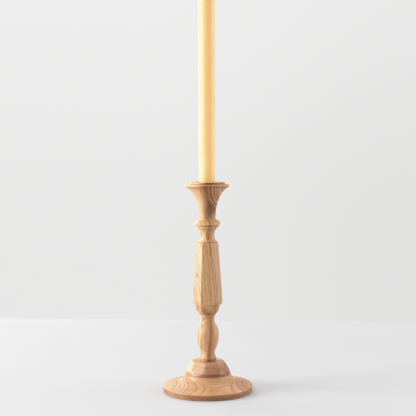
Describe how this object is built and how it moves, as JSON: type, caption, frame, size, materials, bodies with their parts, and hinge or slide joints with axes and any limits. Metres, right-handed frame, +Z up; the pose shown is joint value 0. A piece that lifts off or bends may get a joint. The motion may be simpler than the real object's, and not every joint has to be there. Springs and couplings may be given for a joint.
{
  "type": "candlestick",
  "caption": "Turned wooden candlestick: round foot, faceted knop, baluster, octagonal column and flared cup, with a tall plain candle that lifts out.",
  "frame": {"origin": "on the table, under the middle of the foot", "axes": "+Z up along the turning axis; -Y is the front, faced by one flat of the octagonal column; +X to the right"},
  "size_m": [0.118, 0.118, 0.5604],
  "materials": {
    "foot_wood": "oiled, satin, flat-sawn grain across",
    "stem_wood": "oiled, satin, grain upright",
    "column_wood": "oiled, satin, grain upright",
    "cup_wood": "oiled, satin, darker heartwood",
    "dowel_wood": "plain beech",
    "screw_steel": "zinc plated",
    "felt": "pressed wool felt",
    "wax": "smooth beeswax, slightly translucent",
    "cotton": "braided, unburnt"
  },
  "bodies": {
    "candlestick": {"foot": "foot_wood", "knop": "foot_wood", "lower_stem": "stem_wood", "upper_stem": "column_wood", "candle_cup": "cup_wood", "cup_dowel": "dowel_wood", "stem_dowel": "dowel_wood", "base_screw": "screw_steel", "screw_washer": "screw_steel", "felt_pad": "felt"},
    "loose_candle": {"candle": "wax", "wick": "cotton"}
  },
  "joints": [
    {"name": "candle_lift", "type": "slide", "parent": "candlestick", "child": "loose_candle", "axis": [0, 0, 1], "range_m": [0, 0.06]}
  ]
}
